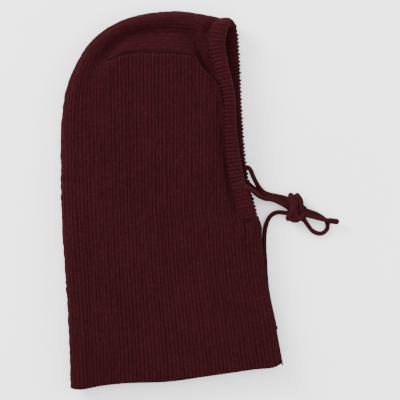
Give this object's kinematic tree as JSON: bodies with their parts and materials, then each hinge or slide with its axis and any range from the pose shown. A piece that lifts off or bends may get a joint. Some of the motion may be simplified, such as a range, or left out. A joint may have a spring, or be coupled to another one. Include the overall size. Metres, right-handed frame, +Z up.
{
  "type": "knitted drawstring balaclava",
  "caption": "Rib-knit open-face balaclava hood lying flat on its side, with a folded casing round the face opening and a tied drawcord.",
  "frame": {"origin": "on the floor, below the middle of the hood as it lies flat on its left side", "axes": "+X towards the face opening, +Y towards the crown along the hood, +Z up from the floor, through the wearer's left to right side"},
  "size_m": [0.2786, 0.3799, 0.0347],
  "materials": {
    "rib_knit": "matt wool rib knit, dark burgundy",
    "casing_rib_knit": "matt wool rib knit folded double, dark burgundy",
    "linking_yarn": "linked wool chain, dark burgundy",
    "drawcord_yarn": "knitted wool cord, burgundy"
  },
  "bodies": {
    "hood": {"side_panel_right": "rib_knit", "side_panel_left": "rib_knit", "crown_back_panel": "rib_knit", "face_casing": "casing_rib_knit", "crown_seam_right": "linking_yarn", "crown_seam_left": "linking_yarn", "casing_seam_right": "linking_yarn", "casing_seam_left": "linking_yarn", "chin_seam": "linking_yarn", "neck_front_seam": "linking_yarn", "hem_cast_off": "linking_yarn", "drawcord_in_casing": "drawcord_yarn"},
    "tied_cord": {"drawcord_right_strand": "drawcord_yarn", "drawcord_left_strand": "drawcord_yarn", "drawcord_tucked_strand": "drawcord_yarn", "drawcord_knot": "drawcord_yarn"},
    "bow": {"bow_loop": "drawcord_yarn", "short_tail": "drawcord_yarn", "short_tail_end": "drawcord_yarn"},
    "long_tail": {"long_tail": "drawcord_yarn", "long_tail_end": "drawcord_yarn"}
  },
  "joints": [
    {"name": "tied_cord_swing", "type": "hinge", "parent": "hood", "child": "tied_cord", "pos_m": [0.0799, 0.0108, 0.0155], "axis": [0, 0, 1], "range_deg": [0, 60]},
    {"name": "bow_lift", "type": "hinge", "parent": "tied_cord", "child": "bow", "pos_m": [0.1314, -0.01395, 0.008], "axis": [-0.206, -0.9786, 0], "range_deg": [0, 60]},
    {"name": "long_tail_swing", "type": "hinge", "parent": "tied_cord", "child": "long_tail", "pos_m": [0.1127, -0.0122, 0.0044], "axis": [0, 0, 1], "range_deg": [0, 60]}
  ]
}
